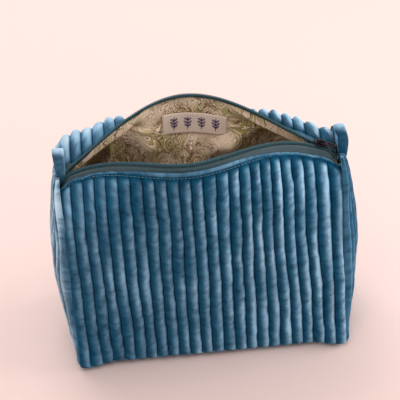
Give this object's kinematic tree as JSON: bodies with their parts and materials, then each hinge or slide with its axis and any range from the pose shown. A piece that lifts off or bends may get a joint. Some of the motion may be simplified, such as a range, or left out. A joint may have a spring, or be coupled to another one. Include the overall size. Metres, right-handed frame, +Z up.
{
  "type": "zippered pouch",
  "caption": "Boxy quilted velvet pouch that stands open, with a coil zip across the top, bowed ends, folded grab tabs and a printed lining.",
  "frame": {"origin": "middle of the base, on the surface that the pouch stands on", "axes": "+X to the right along the zip, -Y is the front, +Z up"},
  "size_m": [0.2706, 0.127, 0.2078],
  "materials": {
    "velvet": "quilted velvet with a strong sheen",
    "wadding": "loose white fibre",
    "lining": "fine printed cotton",
    "tape": "woven herringbone tape",
    "coil": "semi-matt moulded nylon",
    "gunmetal": "dark gunmetal plating",
    "label": "woven satin label"
  },
  "bodies": {
    "base": {"base_panel": "velvet", "base_wadding": "wadding", "base_lining": "lining", "left_gusset": "velvet", "left_gusset_wadding": "wadding", "left_gusset_lining": "lining", "right_gusset": "velvet", "right_gusset_wadding": "wadding", "right_gusset_lining": "lining"},
    "front_wall": {"front_panel": "velvet", "front_wadding": "wadding", "front_lining": "lining", "front_zip_tape": "tape", "front_zip_coil": "coil"},
    "back_wall": {"back_panel": "velvet", "back_wadding": "wadding", "back_lining": "lining", "back_zip_tape": "tape", "back_zip_coil": "coil", "label": "label"},
    "slider": {"slider": "gunmetal"},
    "pull": {"pull": "gunmetal"},
    "left_tab": {"left_tab": "velvet"},
    "right_tab": {"right_tab": "velvet"}
  },
  "joints": [
    {"name": "zip_travel", "type": "hinge", "parent": "base", "child": "slider", "pos_m": [0, 0, -0.034], "axis": [0, -1, 0], "range_deg": [0, 51]},
    {"name": "pull_swing", "type": "hinge", "parent": "slider", "child": "pull", "pos_m": [0.10306, 0, 0.18208], "axis": [0, -1, 0], "range_deg": [0, 165]},
    {"name": "front_close", "type": "hinge", "parent": "base", "child": "front_wall", "pos_m": [0, -0.05, 0], "axis": [-1, 0, 0], "range_deg": [0, 15.1], "deforming": ["front_panel", "front_wadding", "front_lining", "front_zip_tape", "front_zip_coil"]},
    {"name": "back_close", "type": "hinge", "parent": "base", "child": "back_wall", "pos_m": [0, 0.05, 0], "axis": [1, 0, 0], "range_deg": [0, 15.1], "deforming": ["back_panel", "back_wadding", "back_lining", "back_zip_tape", "back_zip_coil"]},
    {"name": "left_tab_flex", "type": "hinge", "parent": "base", "child": "left_tab", "pos_m": [-0.1245, 0, 0.16205], "axis": [1, 0, 0], "range_deg": [-40, 40], "stiffness_Nm_per_rad": 0.005},
    {"name": "right_tab_flex", "type": "hinge", "parent": "base", "child": "right_tab", "pos_m": [0.1245, 0, 0.16205], "axis": [1, 0, 0], "range_deg": [-40, 40], "stiffness_Nm_per_rad": 0.005}
  ],
  "couplings": [
    {"joint": "front_close", "follows": "zip_travel", "ratio": 0.29412},
    {"joint": "back_close", "follows": "zip_travel", "ratio": 0.29412}
  ]
}
